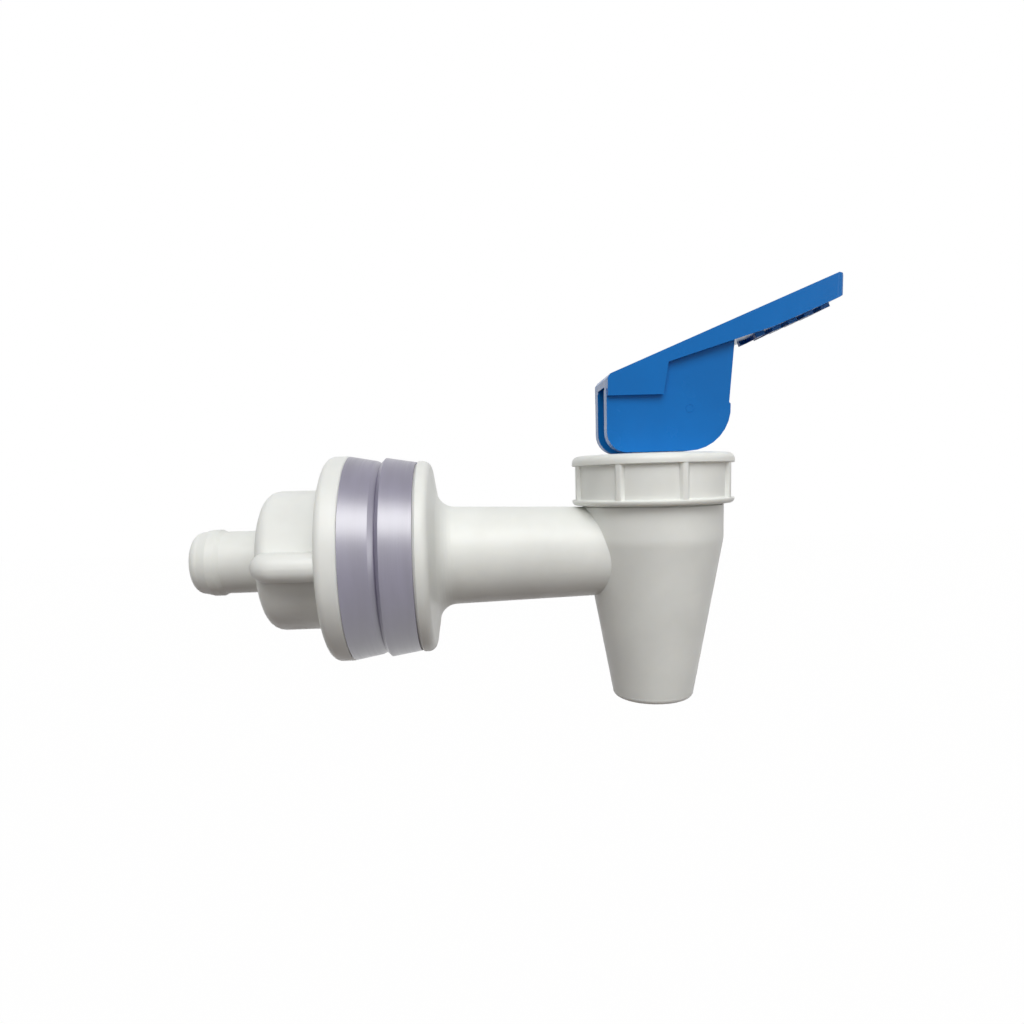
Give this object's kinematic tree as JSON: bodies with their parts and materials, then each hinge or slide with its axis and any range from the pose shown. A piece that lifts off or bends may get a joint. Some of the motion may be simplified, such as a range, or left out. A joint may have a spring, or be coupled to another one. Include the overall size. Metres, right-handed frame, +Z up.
{
  "type": "water cooler tap",
  "caption": "Push-lever tap with a conical spout, flanged threaded shank, wing nut, clear gaskets and a hose tail.",
  "frame": {"origin": "on the shank's axis, in the plane of the flange's mounting face", "axes": "+X along the arm to the spout, +Z up towards the lever, +Y to the far side"},
  "size_m": [0.1179, 0.038, 0.0767],
  "materials": {
    "body_white": "satin injection-moulded white plastic",
    "nut_white": "satin injection-moulded white plastic",
    "cap_white": "satin injection-moulded white plastic",
    "stem_white": "plain moulded plastic",
    "gasket_clear": "clear soft plastic with a faint lilac tint",
    "cup_silicone": "translucent silicone",
    "spring_steel": "drawn stainless wire",
    "lever_blue": "blue injection-moulded plastic"
  },
  "bodies": {
    "tap": {"tap_body": "body_white", "front_gasket": "gasket_clear", "bonnet_cap": "cap_white", "seat_cup": "cup_silicone", "return_spring": "spring_steel"},
    "stem": {"valve_stem": "stem_white"},
    "lever": {"lever": "lever_blue"},
    "nut_slider": {"rear_gasket": "gasket_clear"},
    "nut": {"wing_nut": "nut_white"}
  },
  "joints": [
    {"name": "stem_lift", "type": "slide", "parent": "tap", "child": "stem", "axis": [0, 0, 1], "range_m": [0, 0.00244], "deforming": ["return_spring", "seat_cup"]},
    {"name": "lever_press", "type": "hinge", "parent": "stem", "child": "lever", "pos_m": [0.044, 0, 0.0241], "axis": [0, 1, 0], "range_deg": [0, 25], "stiffness_Nm_per_rad": 0.0124, "springref_deg": -41.14},
    {"name": "nut_travel", "type": "slide", "parent": "tap", "child": "nut_slider", "axis": [-1, 0, 0], "range_m": [0, 0.01451]},
    {"name": "nut_spin", "type": "hinge", "parent": "nut_slider", "child": "nut", "pos_m": [-0.012, 0, 0], "axis": [-1, 0, 0], "range_deg": [0, 2880]}
  ],
  "couplings": [
    {"joint": "stem_lift", "follows": "lever_press", "m_per_rad": 0.005574},
    {"joint": "nut_travel", "follows": "nut_spin", "m_per_rad": 0.00028871}
  ]
}
